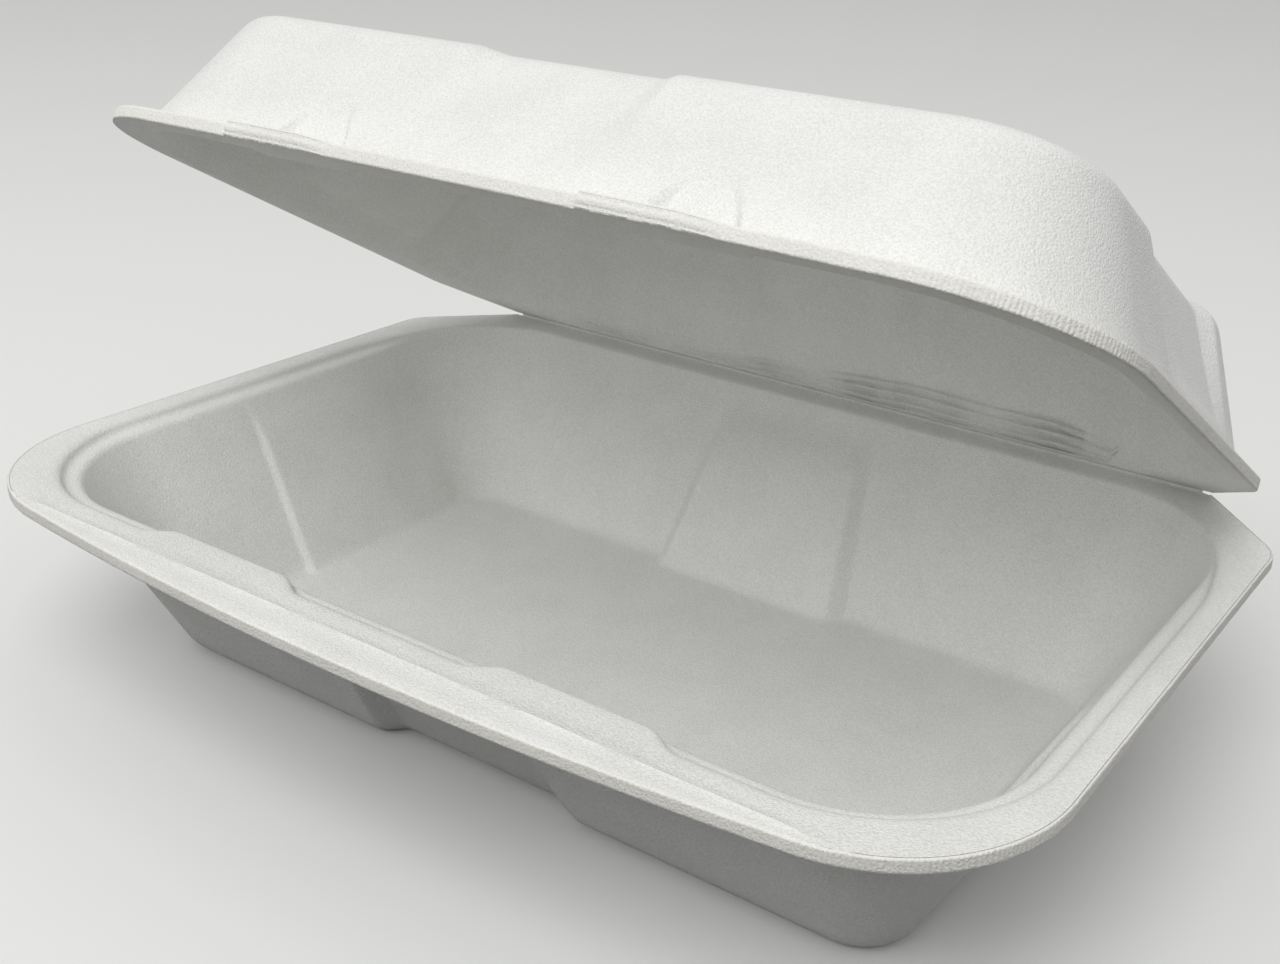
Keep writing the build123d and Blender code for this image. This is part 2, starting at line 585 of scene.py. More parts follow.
def lofted(name: str, rings: list[Array], sharp_deg: float) -> bpy.types.Object:
    """Closed mesh through rings that have the same number of points, with a flat face at each end.

    Args:
        name: Name of the object.
        rings: Rings as rows of points, in millimetres.
        sharp_deg: Angle between faces above which an edge stays crisp.

    Returns:
        The new object, in metres.
    """
    count = len(rings[0])
    points = np.concatenate(rings) * MM
    here = np.arange(count)
    after = np.roll(here, -1)
    quads = []
    for i in range(len(rings) - 1):
        low, high = i * count, (i + 1) * count
        quads.append(np.stack([low + here, low + after, high + after, high + here], axis=1))
    faces = np.concatenate(quads).tolist()
    faces.append(list(range(count))[::-1])
    faces.append(list(range((len(rings) - 1) * count, len(rings) * count)))
    mesh = bpy.data.meshes.new(name)
    mesh.from_pydata(points.tolist(), [], faces)
    mesh.validate()
    mesh.polygons.foreach_set("use_smooth", [True] * len(mesh.polygons))
    mesh.update()
    mesh.set_sharp_from_angle(angle=math.radians(sharp_deg))
    piece = bpy.data.objects.new(name, mesh)
    bpy.context.scene.collection.objects.link(piece)
    return piece


@dataclass
class BaseTray(Tray):
    """Base tray: floor, wall, seat step with two lugs, and a flange whose front lip droops."""

    # Wall, and how far its rows stay from the seat
    inner_run: WallRun = WallRun(reach=2.3, span=9.0, clear=5.5, rows=13)
    outer_run: WallRun = WallRun(reach=4.2, span=8.0, clear=6.0, rows=12)
    seat_clear: float = 1.2
    outer_seat_clear: float = 1.6

    # Seat step and lugs
    seat: float = 2.5
    seat_drop: float = 2.0
    seat_fade_start: float = 26.0
    seat_fade_end: float = 50.0
    seat_bend: float = 1.4
    seat_bend_steps: int = 5
    seat_span: float = 2.4
    riser_lean: float = 0.35
    least_ledge: float = 0.2
    plain_share: float = 0.6
    lug_offset: float = 41.5
    lug_length: float = 36.0
    lug_depth: float = 3.4
    lug_ramp: float = 8.0
    mouth_bend: float = 2.4
    lug_bend: float = 1.1
    flange_span: float = 4.0

    # Front lip, its raised crease, and the edge of the flange
    lip_offset: float = 76.5
    lip_droop_deg: float = 3.5
    droop_slack: float = 0.2
    crease_ridge: float = 0.3
    ridge_half: float = 0.55
    ridge_unevenness: float = 0.3
    ridge_period: float = 37.0
    seat_to_crease: float = 1.2
    crease_to_rim: float = 1.1
    facing_start: float = 0.2
    facing_soft: float = 0.4
    least_facing: float = 0.05
    crease_chamfer: float = 2.4
    edge_land: float = 0.8
    crease_land_cut: float = 0.6
    edge_span: float = 1.5
    edge_shares: tuple[float, ...] = (0.0, 0.35, 0.7)
    under_shares: tuple[float, ...] = (0.4, 0.8)

    def front_marks(self) -> tuple[float, ...]:
        """Distances from the front's middle at which the lugs start and end."""
        inner = self.lug_offset - self.lug_length / 2
        return inner, inner + self.lug_length

    def place(self, points: Array) -> Array:
        """Base points with the mouth up and the mating face at the tray's height.

        Args:
            points: Rows of x, y and height from the mating face.

        Returns:
            Rows of x, y and z where the base stands.
        """
        out = points.copy()
        y, height = points[:, 1], points[:, 2]
        droop = np.maximum(-self.lip_offset - y, 0.0) * math.tan(math.radians(self.lip_droop_deg))
        near_rim = smooth(1.0 - (height - self.sheet - self.droop_slack) / self.sheet)
        out[:, 2] = self.depth - height - droop * near_rim
        return out

    def lug_mask(self, shrink: float) -> Array:
        """1 on the two lugs of the front rim, with each end drawn in by the shrink, and 0 elsewhere."""
        half = (self.lug_length - self.lug_ramp) / 2 - shrink
        return self.stations.on(Side.FRONT) * plateau(
            np.abs(self.stations.run) - self.lug_offset, half, self.lug_ramp
        )

    def seat_weight(self) -> Array:
        """1 where the seat step is full, fading to 0 towards the rear corners."""
        _, y = self.stations.at(self.level(self.mouth_radius))
        return 1.0 - smooth((y - self.seat_fade_start) / (self.seat_fade_end - self.seat_fade_start))

    def profile(self) -> list[Loop]:
        """Loops of the base, from the floor up the inside, over the rim and down the outside.

        Returns:
            The loops in order.
        """
        loops = self.wall_run(Face.INNER, self.inner_run, self.seat_drop + self.seat_clear)
        loops += self.seat_loops(Face.INNER) + self.flange_loops() + self.seat_loops(Face.OUTER)[::-1]
        rim = self.sheet + self.seat_drop + self.outer_seat_clear
        return loops + self.wall_run(Face.OUTER, self.outer_run, rim)[::-1]

    def seat_loops(self, face: Face) -> list[Loop]:
        """Loops of the seat step, from the wall up to the flange, on one face of the sheet.

        Args:
            face: Which face of the sheet.

        Returns:
            Loops from the wall to the start of the flange.
        """
        grow = self.sheet if face is Face.OUTER else 0.0
        mouth = self.mouth_radius + (self.skin if face is Face.OUTER else 0.0)
        weight = self.seat_weight()
        lug = self.lug_mask(grow)
        low = grow + self.seat_drop
        top = self.level(grow)
        ledge = self.wall_loop(low, face)
        seat_out = self.mouth_radius + grow + self.seat - lug * self.lug_depth
        plain_foot = self.wall_loop(grow + self.plain_share * self.seat_drop, face)
        plain_top = (self.level(mouth - self.slope * grow), top)
        foot_out = np.maximum(seat_out - self.riser_lean, ledge[0] + self.least_ledge)
        riser_foot = mixed(plain_foot, (foot_out, self.level(low)), weight)
        riser_top = mixed(plain_top, (seat_out + self.riser_lean, top), weight)
        start = self.wall_loop(low + self.seat_span, face)
        beyond = (riser_top[0] + self.flange_span, top)
        rounding = self.mouth_bend + (self.lug_bend - self.mouth_bend) * lug
        loops = bend(start, ledge, riser_foot, self.seat_bend, self.seat_bend_steps)
        loops += bend(ledge, riser_foot, riser_top, self.seat_bend, self.seat_bend_steps)
        return loops + bend(riser_foot, riser_top, beyond, rounding, self.bend_steps)

    def flange_loops(self) -> list[Loop]:
        """Loops of the flange's top, its cut edge and its underside, out and back.

        Returns:
            Loops from the seat's edge to the foot of the flange below.
        """
        stations = self.stations
        rim = self.rim_reach
        x, _ = stations.at(rim)
        flat, under = self.level(0.0), self.level(self.sheet)
        start = self.seat_loops(Face.INNER)[-1][0]
        nearest = start + self.seat_to_crease
        crease = (self.lip_offset + stations.core_y) / np.maximum(-stations.out_y, self.least_facing)
        crease = np.clip(crease, nearest, np.maximum(rim - self.crease_to_rim, nearest))
        front = smooth((-stations.out_y - self.facing_start) / self.facing_soft)
        front = front * smooth((rim - crease - self.seat_to_crease) / 1.0)
        uneven = 1.0 - self.ridge_unevenness + self.ridge_unevenness * wobble(x, self.ridge_period, 3)
        ridge = -self.crease_ridge * front * uneven
        loops = [mixed((start, flat), (crease, flat), 0.5)]
        loops += [(crease - self.ridge_half, flat), (crease, ridge), (crease + self.ridge_half, flat)]
        loops.append(mixed((crease + self.ridge_half, flat), (rim, flat), 0.5))

        top, low = (rim, flat), (rim - self.crease_chamfer * self.on_crease, under)
        land = (rim, self.level(self.edge_land) - self.crease_land_cut * self.on_crease)
        loops += bend((rim - self.edge_span, flat), top, land, self.rim_edge, self.rim_edge_steps)
        loops += [mixed(land, low, share) for share in self.edge_shares]
        loops += bend(land, low, (low[0] - self.edge_span, under), self.rim_edge, self.rim_edge_steps)
        last = self.seat_loops(Face.OUTER)[-1][0]
        return loops + [mixed((low[0], under), (last, under), share) for share in self.under_shares]


@dataclass
class LidTray(Tray):
    """Lid tray: a shallower wall with its foot on the crease, and a wedge pocket behind each latch lip."""

    crease_y: float = 76.5
    crease_z: float = 44.15
    mating_z: float = 44.3
    open_deg: float = 30.0

    # Wall, with a bevel at the hinge, and how far its rows stay from the rim
    inner_run: WallRun = WallRun(reach=2.8, span=8.0, clear=5.0, rows=9)
    outer_run: WallRun = WallRun(reach=4.4, span=9.5, clear=6.0, rows=22, steps=8)
    rim_clear: float = 1.4
    bevel_share: float = 0.625

    # Latch lips, with a notch beside each and a slit behind
    lip_offset: float = 41.5
    lip_length: float = 30.0
    lip_proud: float = 1.0
    lip_rise: float = 0.5
    lip_width: float = 2.6
    lip_start: float = 0.8
    lip_fade_start: float = 0.62
    notch: float = 0.4
    slit_depth: float = 0.45
    slit_width: float = 0.35
    slit_back: float = 0.5
    lip_width_share: float = 0.45
    slit_width_share: float = 0.08
    slit_back_share: float = 0.1

    # Wedge pockets
    pocket_offset: float = 43.0
    pocket_height: float = 11.0
    pocket_foot_width: float = 18.0
    pocket_top_width: float = 7.0
    pocket_inset: float = 3.0
    pocket_side: float = 1.5
    pocket_overlap: float = 0.5

    # Edge of the mouth and foot of the flange
    mouth_reach: float = 2.6
    mouth_span: float = 6.0
    rear_mouth_reach: float = 0.5
    mouth_clear_share: float = 1.1
    rear_mouth_clear: float = 0.6
    least_flange: float = 0.05
    mating_shares: tuple[float, ...] = (0.5, 0.8)
    edge_shares: tuple[float, ...] = (0.35, 0.65)
    foot_reach: float = 1.1
    foot_span: float = 3.0
    foot_steps: int = 4

    # Fine creases along the hinge, which swell towards the right
    ridge_pitch: float = 2.1
    ridge_height: float = 1.25
    ridge_band: float = 8.0
    ridge_rows: int = 7
    ridge_soft: float = 2.5
    ridge_clear: float = 0.4
    ridge_least: float = 0.3
    ridge_facing: float = 0.55
    ridge_facing_soft: float = 0.35
    ridge_stop: float = 24.0
    ridge_stop_soft: float = 14.0
    swell_start: float = -45.0
    swell_rise: float = 80.0
    swell_stop: float = 58.0
    swell_fall: float = 30.0
    bend_of_ridges: float = 0.9
    bend_period: float = 61.0
    strength_of_ridges: float = 0.6
    strength_period: float = 43.0

    def front_marks(self) -> tuple[float, ...]:
        """Distances from the front's middle at which the lips and pockets start and end."""
        forms = (
            (self.lip_offset, self.lip_length),
            (self.pocket_offset, self.pocket_foot_width),
            (self.pocket_offset, self.pocket_top_width),
        )
        return tuple(offset + way * length / 2 for offset, length in forms for way in (-1, 1))

    def place(self, points: Array) -> Array:
        """Lid points at the angle the lid stands open, turned about the crease.

        Args:
            points: Rows of x, y and height from the mating face, with the lid shut.

        Returns:
            Rows of x, y and z where the lid stands.
        """
        turn = math.radians(self.open_deg)
        y = points[:, 1] - self.crease_y
        z = points[:, 2] + self.mating_z - self.crease_z
        out = points.copy()
        out[:, 1] = self.crease_y + y * math.cos(turn) + z * math.sin(turn)
        out[:, 2] = self.crease_z - y * math.sin(turn) + z * math.cos(turn)
        return out

    def lip_mask(self, x: Array, y: Array) -> Array:
        """1 on the two latch lips of the front edge, crisp at their left ends and fading at their right.

        Args:
            x: Places along the edge.
            y: Places across it, negative at the front.

        Returns:
            One value for each place.
        """
        place = self.lip_place(x)
        rise = smooth(place / self.lip_start)
        fall = 1.0 - smooth((place / self.lip_length - self.lip_fade_start) / (1.0 - self.lip_fade_start))
        return rise * fall * (y < 0)

    def lip_notch(self, x: Array, y: Array) -> Array:
        """1 in the narrow notch just before the left end of each lip."""
        return np.exp(-(((self.lip_place(x) + self.notch) / self.notch) ** 2)) * (y < 0)

    def lip_place(self, x: Array) -> Array:
        """Distance along the edge from the left end of the nearest lip."""
        return np.where(x < 0, x + self.lip_offset, x - self.lip_offset) + self.lip_length / 2

    def pocket(self, height: Array | float, spread: float) -> Array:
        """How far the wedge pockets stand in from the front wall at a height.

        Args:
            height: Distance from the mating face.
            spread: Extra half width, for the face that is a sheet further in.

        Returns:
            Inset at each station.
        """
        share = np.clip(1.0 - (height - self.sheet) / self.pocket_height, 0.0, 1.0)
        width = self.pocket_top_width + (self.pocket_foot_width - self.pocket_top_width) * share
        place = np.abs(self.stations.run) - self.pocket_offset
        mask = slanted(place, width / 2 + spread - self.pocket_overlap, self.pocket_side)
        return self.pocket_inset * share * mask * self.stations.on(Side.FRONT)

    def wall(self, height: Array | float, face: Face) -> Array:
        """Distance from the core of one face of the wall, with the pockets and the hinge's bevel.

        Args:
            height: Distance from the mating face.
            face: Which face of the sheet.

        Returns:
            One distance for each station.
        """
        spread = 0.0 if face is Face.OUTER else self.skin
        reach = super().wall(height, face) - self.pocket(height, spread)
        if face is Face.OUTER:
            bevel = self.rim_reach + self.bevel_share * height
            reach = np.where(self.on_crease > 0.5, np.minimum(reach, bevel), reach)
        return reach

    def profile(self) -> list[Loop]:
        """Loops of the lid, from the plate down the inside, round the rim and up the outside.

        Returns:
            The loops in order.
        """
        loops = self.wall_run(Face.INNER, self.inner_run, self.ridge_band + self.ridge_clear)
        loops += self.hinge_ridges() + self.flange_loops()
        return loops + self.wall_run(Face.OUTER, self.outer_run, self.sheet + self.rim_clear)[::-1]

    def hinge_ridges(self) -> list[Loop]:
        """Loops of the foot of the inner wall, with fine creases along the hinge at the rear.

        Returns:
            Loops from the top of the creased band down to the edge of the mouth.
        """
        x, _ = self.stations.at(self.level(self.mouth_radius))
        facing = smooth((self.stations.out_y - self.ridge_facing) / self.ridge_facing_soft)
        fade = facing * plateau(x, self.rim.neck - self.ridge_stop, self.ridge_stop_soft)
        swell = smooth((x - self.swell_start) / self.swell_rise)
        swell = swell * (1.0 - smooth((x - self.swell_stop) / self.swell_fall))
        band = self.ridge_band * (0.5 + 0.5 * swell)
        clear = self.mouth_reach * self.mouth_clear_share
        lowest = clear + (self.rear_mouth_clear - clear) * self.stations.on(Side.REAR)
        bent = self.bend_of_ridges * wobble(x, self.bend_period, 8)
        uneven = 1.0 - self.strength_of_ridges
        uneven = self.strength_of_ridges + uneven * wobble(x, self.strength_period, 5)
        loops = []
        rows = math.ceil(self.ridge_rows * self.ridge_band / self.ridge_pitch)
        for share in np.linspace(0.0, 1.0, rows):
            height = self.ridge_band + (lowest - self.ridge_band) * share
            strength = smooth((band - height) / self.ridge_soft)
            strength = strength * (self.ridge_least + (1.0 - self.ridge_least) * swell)
            phase = math.tau * height / self.ridge_pitch * self.ridge_band / band
            wave = np.sin(phase + bent) * uneven
            reach = self.wall(height, Face.INNER) + self.ridge_height * strength * fade * wave
            loops.append((reach, height))
        return loops

    def flange_loops(self) -> list[Loop]:
        """Loops of the flange's mating face, its cut edge and its top with the latch lips.

        Returns:
            Loops from the edge of the mouth round the rim to the foot of the outer wall.
        """
        inner, outer = Face.INNER, Face.OUTER
        above = self.level(self.sheet)
        x, y = self.stations.at(self.rim_reach)
        lip = self.lip_mask(x, y)
        rim = self.rim_reach + self.lip_proud * lip
        mouth = self.wall_loop(0.0, inner)
        foot = self.wall_loop(self.sheet, outer)
        edge_low = (rim, self.level(0.0))
        edge_top = (np.maximum(rim, foot[0] + self.least_flange), above + self.lip_rise * lip)
        start = self.wall_loop(self.mouth_span, inner)
        rear = self.stations.on(Side.REAR)
        mouth_reach = self.mouth_reach + (self.rear_mouth_reach - self.mouth_reach) * rear
        loops = bend(start, mouth, edge_low, mouth_reach, self.bend_steps)
        loops += [mixed(mouth, edge_low, share) for share in self.mating_shares]
        loops += bend(mouth, edge_low, edge_top, self.rim_edge, self.rim_edge_steps)
        loops += [mixed(edge_low, edge_top, share) for share in self.edge_shares]

        width = edge_top[0] - foot[0]
        lip_width = np.minimum(self.lip_width, self.lip_width_share * width)
        slit_width = np.minimum(self.slit_width, self.slit_width_share * width)
        slit_back = np.minimum(self.slit_back, self.slit_back_share * width)
        lip_back = (edge_top[0] - lip_width, edge_top[1])
        slit = (lip_back[0] - slit_width, above - self.slit_depth * lip)
        behind = (slit[0] - slit_back, above)
        loops += bend(edge_low, edge_top, lip_back, self.rim_edge, self.rim_edge_steps)
        loops += [lip_back, slit, behind]
        wall_up = self.wall_loop(self.sheet + self.foot_span, outer)
        return loops + bend(behind, foot, wall_up, self.foot_reach, self.foot_steps)


@dataclass(frozen=True)
class EdgeRow:
    """One line of a cut edge's profile: where it lies on the sheet and how strongly it is marked."""

    offset: float
    height: float
    ridge: float
    groove: float = 0.0


@dataclass
class CutEdge:
    """Die-cut edge of a rim: a fine band of knife ridges that runs round the sheet from neck to neck."""

    tray: Tray
    step: float = 0.3
    pitch: float = 0.9
    ridge: float = 0.14
    rough: float = 0.04
    proud: float = 0.06
    groove: float = 0.35
    seat: float = 0.6
    lip_smoothing: float = 0.8
    sharp_deg: float = 60.0

    # Unevenness of the ridges' spacing and height, and of the cut face
    pitch_shift: float = 0.35
    pitch_period: float = 23.0
    height_shift: float = 0.25
    height_period: float = 17.0
    rough_period: float = 7.0

    def profile(self) -> tuple[EdgeRow, ...]:
        """Lines of the band, in order across the cut from one face of the sheet to the other.

        Returns:
            The lines.
        """
        sheet = self.tray.sheet
        return (
            EdgeRow(-self.seat, 0.04, 0.0),
            EdgeRow(-0.12, 0.0, 0.25),
            EdgeRow(self.proud, 0.25, 0.75),
            EdgeRow(self.proud, 0.45, 0.8, groove=1.0),
            EdgeRow(self.proud, 0.7, 0.8),
            EdgeRow(self.proud, 0.5 * sheet, 0.8),
            EdgeRow(self.proud, sheet - 0.8, 0.7),
            EdgeRow(self.proud, sheet - 0.55, 0.6, groove=1.0),
            EdgeRow(self.proud, sheet - 0.3, 0.5),
            EdgeRow(-0.1, sheet, 0.15),
            EdgeRow(-self.seat, sheet - 0.04, 0.0),
        )

    def teeth(self, along: Array) -> Array:
        """Height of the knife ridges along the edge.

        Args:
            along: Distances along the edge.

        Returns:
            Heights from 0 to about 1.
        """
        phase = along / self.pitch + self.pitch_shift * wobble(along, self.pitch_period, 11)
        tooth = 0.5 + 0.5 * np.sin(math.tau * phase)
        return tooth * (1.0 - self.height_shift + self.height_shift * wobble(along, self.height_period, 4))

    def build(self, name: str, finish: bpy.types.Material) -> bpy.types.Object:
        """Makes the ridged band as one closed tube.

        Args:
            name: Name of the piece.
            finish: Material of the cut.

        Returns:
            The piece.
        """
        line = self.tray.rim.ring(self.step)
        along = np.concatenate([[0.0], np.cumsum(np.linalg.norm(np.diff(line, axis=0), axis=1))])
        way = np.gradient(line, axis=0)
        way /= np.linalg.norm(way, axis=1)[:, None]
        out = np.stack([way[:, 1], -way[:, 0]], axis=1)
        proud, rise, lip = self.lip(line)
        tooth = self.teeth(along) * (1.0 - self.lip_smoothing * lip)
        rough = wobble(along, self.rough_period, 9)
        rows = []
        for row in self.profile():
            reach = row.offset + self.ridge * row.ridge * tooth + self.rough * row.ridge * rough
            reach = reach + (proud - self.groove * row.groove * lip) * (row.ridge > 0)
            points = line + out * reach[:, None]
            level = row.height + rise * row.height / self.tray.sheet
            rows.append(self.tray.place(np.stack([points[:, 0], points[:, 1], level], axis=1)))
        piece = lofted(name, list(np.stack(rows, axis=1)), self.sharp_deg)
        piece.data.materials.append(finish)
        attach(piece, self.tray.body)
        return piece

    def lip(self, line: Array) -> tuple[Array, Array, Array]:
        """Latch lips along the edge, which only the lid has.

        Args:
            line: Points along the edge.

        Returns:
            How far the edge stands proud, how far it rises, and the mask of the lips.
        """
        if isinstance(self.tray, LidTray):
            x, y = line[:, 0], line[:, 1]
            mask = self.tray.lip_mask(x, y)
            proud = self.tray.lip_proud * mask - self.groove * self.tray.lip_notch(x, y)
            return proud, self.tray.lip_rise * mask, mask
        none = np.zeros(len(line))
        return none, none, none


@dataclass
class HingeWeb:
    """Thin web of creased foam that joins the two trays along the crease."""

    base: BaseTray
    lid: LidTray
    half_length: float = 96.0
    step: float = 2.0
    blend_start: float = -0.05
    blend_end: float = 0.6
    sharp_deg: float = 80.0

    # Section across the crease: y from the crease and z from the top of the base
    section: tuple[tuple[float, float], ...] = (
        (-1.5, -0.05),
        (-0.75, 0.1),
        (-0.55, 0.35),
        (-0.85, 0.75),
        (-0.3, 0.55),
        (-0.02, 0.25),
        (-0.15, -0.12),
        (-1.0, -0.3),
    )

    def build(self, name: str, finish: bpy.types.Material) -> bpy.types.Object:
        """Makes the web as one fixed piece along the crease.

        Args:
            name: Name of the piece.
            finish: Material of the foam.

        Returns:
            The piece.
        """
        top = self.base.depth
        y = self.lid.crease_y
        xs = np.arange(-self.half_length, self.half_length + self.step / 2, self.step)
        rings = [np.array([(x, y + dy, top + dz) for dy, dz in self.section]) for x in xs]
        piece = lofted(name, rings, self.sharp_deg)
        piece.data.materials.append(finish)
        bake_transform(piece)
        return piece


class Graph:
    """Short hand for making and joining shader nodes in one tree."""

    def __init__(self, tree: bpy.types.NodeTree) -> None:
        """Keeps the tree that the nodes go in."""
        self.tree = tree

    def feed(self, node: bpy.types.Node, inputs: dict[str | int, object]) -> None:
        """Joins sockets to a node's inputs, and sets the inputs that get a constant.

        Args:
            node: Node with the inputs.
            inputs: Socket or constant for each input, by the input's name or number.
        """
        for key, value in inputs.items():
            if isinstance(value, Socket):
                self.tree.links.new(value, node.inputs[key])
            else:
                node.inputs[key].default_value = value

    def node(self, kind: str, inputs: dict[str | int, object], **settings: object) -> bpy.types.Node:
        """New node of a kind.

        Args:
            kind: Blender's name of the node type.
            inputs: Socket or constant for each input that needs one.
            settings: Properties of the node.

        Returns:
            The node.
        """
        made = self.tree.nodes.new(kind)
        for key, value in settings.items():
            setattr(made, key, value)
        self.feed(made, inputs)
        return made

    def math(self, operation: str, first: object, second: object) -> Socket:
        """Result of an operation on two sockets or numbers."""
        return self.node("ShaderNodeMath", {0: first, 1: second}, operation=operation).outputs[0]

    def weighted(self, first: Socket, first_share: float, second: Socket, second_share: float) -> Socket:
        """Sum of two values, each times its share."""
        first_part = self.math("MULTIPLY", first, first_share)
        return self.math("ADD", first_part, self.math("MULTIPLY", second, second_share))

    def noise(self, place: Socket, scale: float, detail: float, rough: float) -> Socket:
        """Noise from 0 to 1: its waves to a unit, its number of finer layers and their strength."""
        inputs = {"Vector": place, "Scale": scale, "Detail": detail, "Roughness": rough}
        return self.node("ShaderNodeTexNoise", inputs).outputs["Fac"]

    def cells(self, place: Socket, scale: float, output: str) -> Socket:
        """One output of Voronoi cells, with a scale in cells to a unit."""
        inputs = {"Vector": place, "Scale": scale}
        return self.node("ShaderNodeTexVoronoi", inputs, feature="F1").outputs[output]

    def window(self, value: Socket, low: float, high: float) -> Socket:
        """Value mapped smoothly from a window to the range 0 to 1, and held there."""
        inputs = {"Value": value, "From Min": low, "From Max": high}
        return self.node("ShaderNodeMapRange", inputs, interpolation_type="SMOOTHSTEP").outputs["Result"]

    def ramp(self, share: Socket, dark: Colour, light: Colour) -> Socket:
        """Colour between a dark one, at share 0, and a light one, at share 1."""
        inputs = {"Factor": share, "A": (*dark, 1.0), "B": (*light, 1.0)}
        return self.node("ShaderNodeMix", inputs, data_type="RGBA").outputs["Result"]


@dataclass(frozen=True)
class FoamSkin:
    """Pebbled skin of the foam as a node group: its height, its mottling and its glints.

    Scales are in waves or cells to a pebble, and the rest are weights and limits of the values.
    """

    detail: float = 2.0
    pebble_rough: float = 0.55
    pebble_height: float = 0.7
    bead_scale: float = 0.8
    bead_height: float = -0.45
    wave_scale: float = 0.03
    wave_rough: float = 0.5
    wave_height: float = 0.9
    mottle_pebble: float = 0.8
    mottle_wave: float = 0.2
    mottle_window: tuple[float, float] = (0.34, 0.64)
    glint_scale: float = 1.3
    glint_window: tuple[float, float] = (0.9, 0.97)

    def build(self) -> bpy.types.NodeTree:
        """Makes the group.

        Returns:
            The node group.
        """
        group = bpy.data.node_groups.new("foam_skin", "ShaderNodeTree")
        group.interface.new_socket("Place", in_out="INPUT", socket_type="NodeSocketVector")
        group.interface.new_socket("Pebble Scale", in_out="INPUT", socket_type="NodeSocketFloat")
        for name in ("Height", "Mottle", "Glint"):
            group.interface.new_socket(name, in_out="OUTPUT", socket_type="NodeSocketFloat")
        graph = Graph(group)
        given = graph.node("NodeGroupInput", {}).outputs
        scaled = {0: given["Place"], "Scale": given["Pebble Scale"]}
        place = graph.node("ShaderNodeVectorMath", scaled, operation="SCALE").outputs[0]
        pebble = graph.noise(place, 1.0, self.detail, self.pebble_rough)
        bead = graph.cells(place, self.bead_scale, "Distance")
        wave = graph.noise(place, self.wave_scale, self.detail, self.wave_rough)
        grain = graph.weighted(pebble, self.pebble_height, bead, self.bead_height)
        mottle = graph.weighted(pebble, self.mottle_pebble, wave, self.mottle_wave)
        cell = {"Color": graph.cells(place, self.glint_scale, "Color")}
        lone = graph.node("ShaderNodeSeparateColor", cell).outputs["Red"]
        results = {
            "Height": graph.math("ADD", grain, graph.math("MULTIPLY", wave, self.wave_height)),
            "Mottle": graph.window(mottle, *self.mottle_window),
            "Glint": graph.window(lone, *self.glint_window),
        }
        graph.node("NodeGroupOutput", results)
        return group


@dataclass(frozen=True)
class FoamFinish:
    """Matte white foam skin with a fine pebble and scattered glints."""

    name: str
    light: Colour
    dark: Colour
    pebble_per_m: float
    bump_mm: float
    rough: float
    glint_rough: float
    specular: float = 0.45

    def build(self, skin: bpy.types.NodeTree) -> bpy.types.Material:
        """Makes the material.

        Args:
            skin: Group of the pebbled skin.

        Returns:
            The material.
        """
        material = bpy.data.materials.new(self.name)
        material.use_nodes = True
        graph = Graph(material.node_tree)
        place = graph.node("ShaderNodeTexCoord", {}).outputs["Object"]
        pebbles = {"Place": place, "Pebble Scale": self.pebble_per_m}
        grain = graph.node("ShaderNodeGroup", pebbles, node_tree=skin).outputs
        gloss = {"Value": grain["Glint"], "To Min": self.rough, "To Max": self.glint_rough}
        bump = {"Height": grain["Height"], "Distance": self.bump_mm * MM, "Strength": 1.0}
        surface = {
            "Base Color": graph.ramp(grain["Mottle"], self.dark, self.light),
            "Roughness": graph.node("ShaderNodeMapRange", gloss).outputs["Result"],
            "Normal": graph.node("ShaderNodeBump", bump).outputs["Normal"],
            "Specular IOR Level": self.specular,
        }
        graph.feed(material.node_tree.nodes["Principled BSDF"], surface)
        return material


SKIN = FoamFinish(
    name="foam_skin_white",
    light=(0.89, 0.89, 0.87),
    dark=(0.765, 0.765, 0.74),
    pebble_per_m=2600.0,
    bump_mm=0.2,
    rough=0.55,
    glint_rough=0.3,
)
CUT = FoamFinish(
    name="foam_cut_cream",
    light=(0.90, 0.89, 0.845),
    dark=(0.79, 0.78, 0.73),
    pebble_per_m=2600.0,
    bump_mm=0.16,
    rough=0.75,
    glint_rough=0.5,
)


@dataclass(frozen=True)
class SoftLamp:
    """Square soft lamp that points at the object, in metres and watts."""

    name: str
    place: tuple[float, float, float]
    size: float
    watts: float
    aim: tuple[float, float, float] = (0.0, 0.0, 0.05)

    def build(self) -> bpy.types.Object:
        """Makes the lamp.

        Returns:
            The lamp.
        """
        data = bpy.data.lights.new(self.name, "AREA")
        data.size = self.size
        data.energy = self.watts
        lamp = bpy.data.objects.new(self.name, data)
        lamp.location = self.place
        way = Vector(self.aim) - Vector(self.place)
        lamp.rotation_euler = way.to_track_quat("-Z", "Y").to_euler()
        bpy.context.scene.collection.objects.link(lamp)
        return lamp


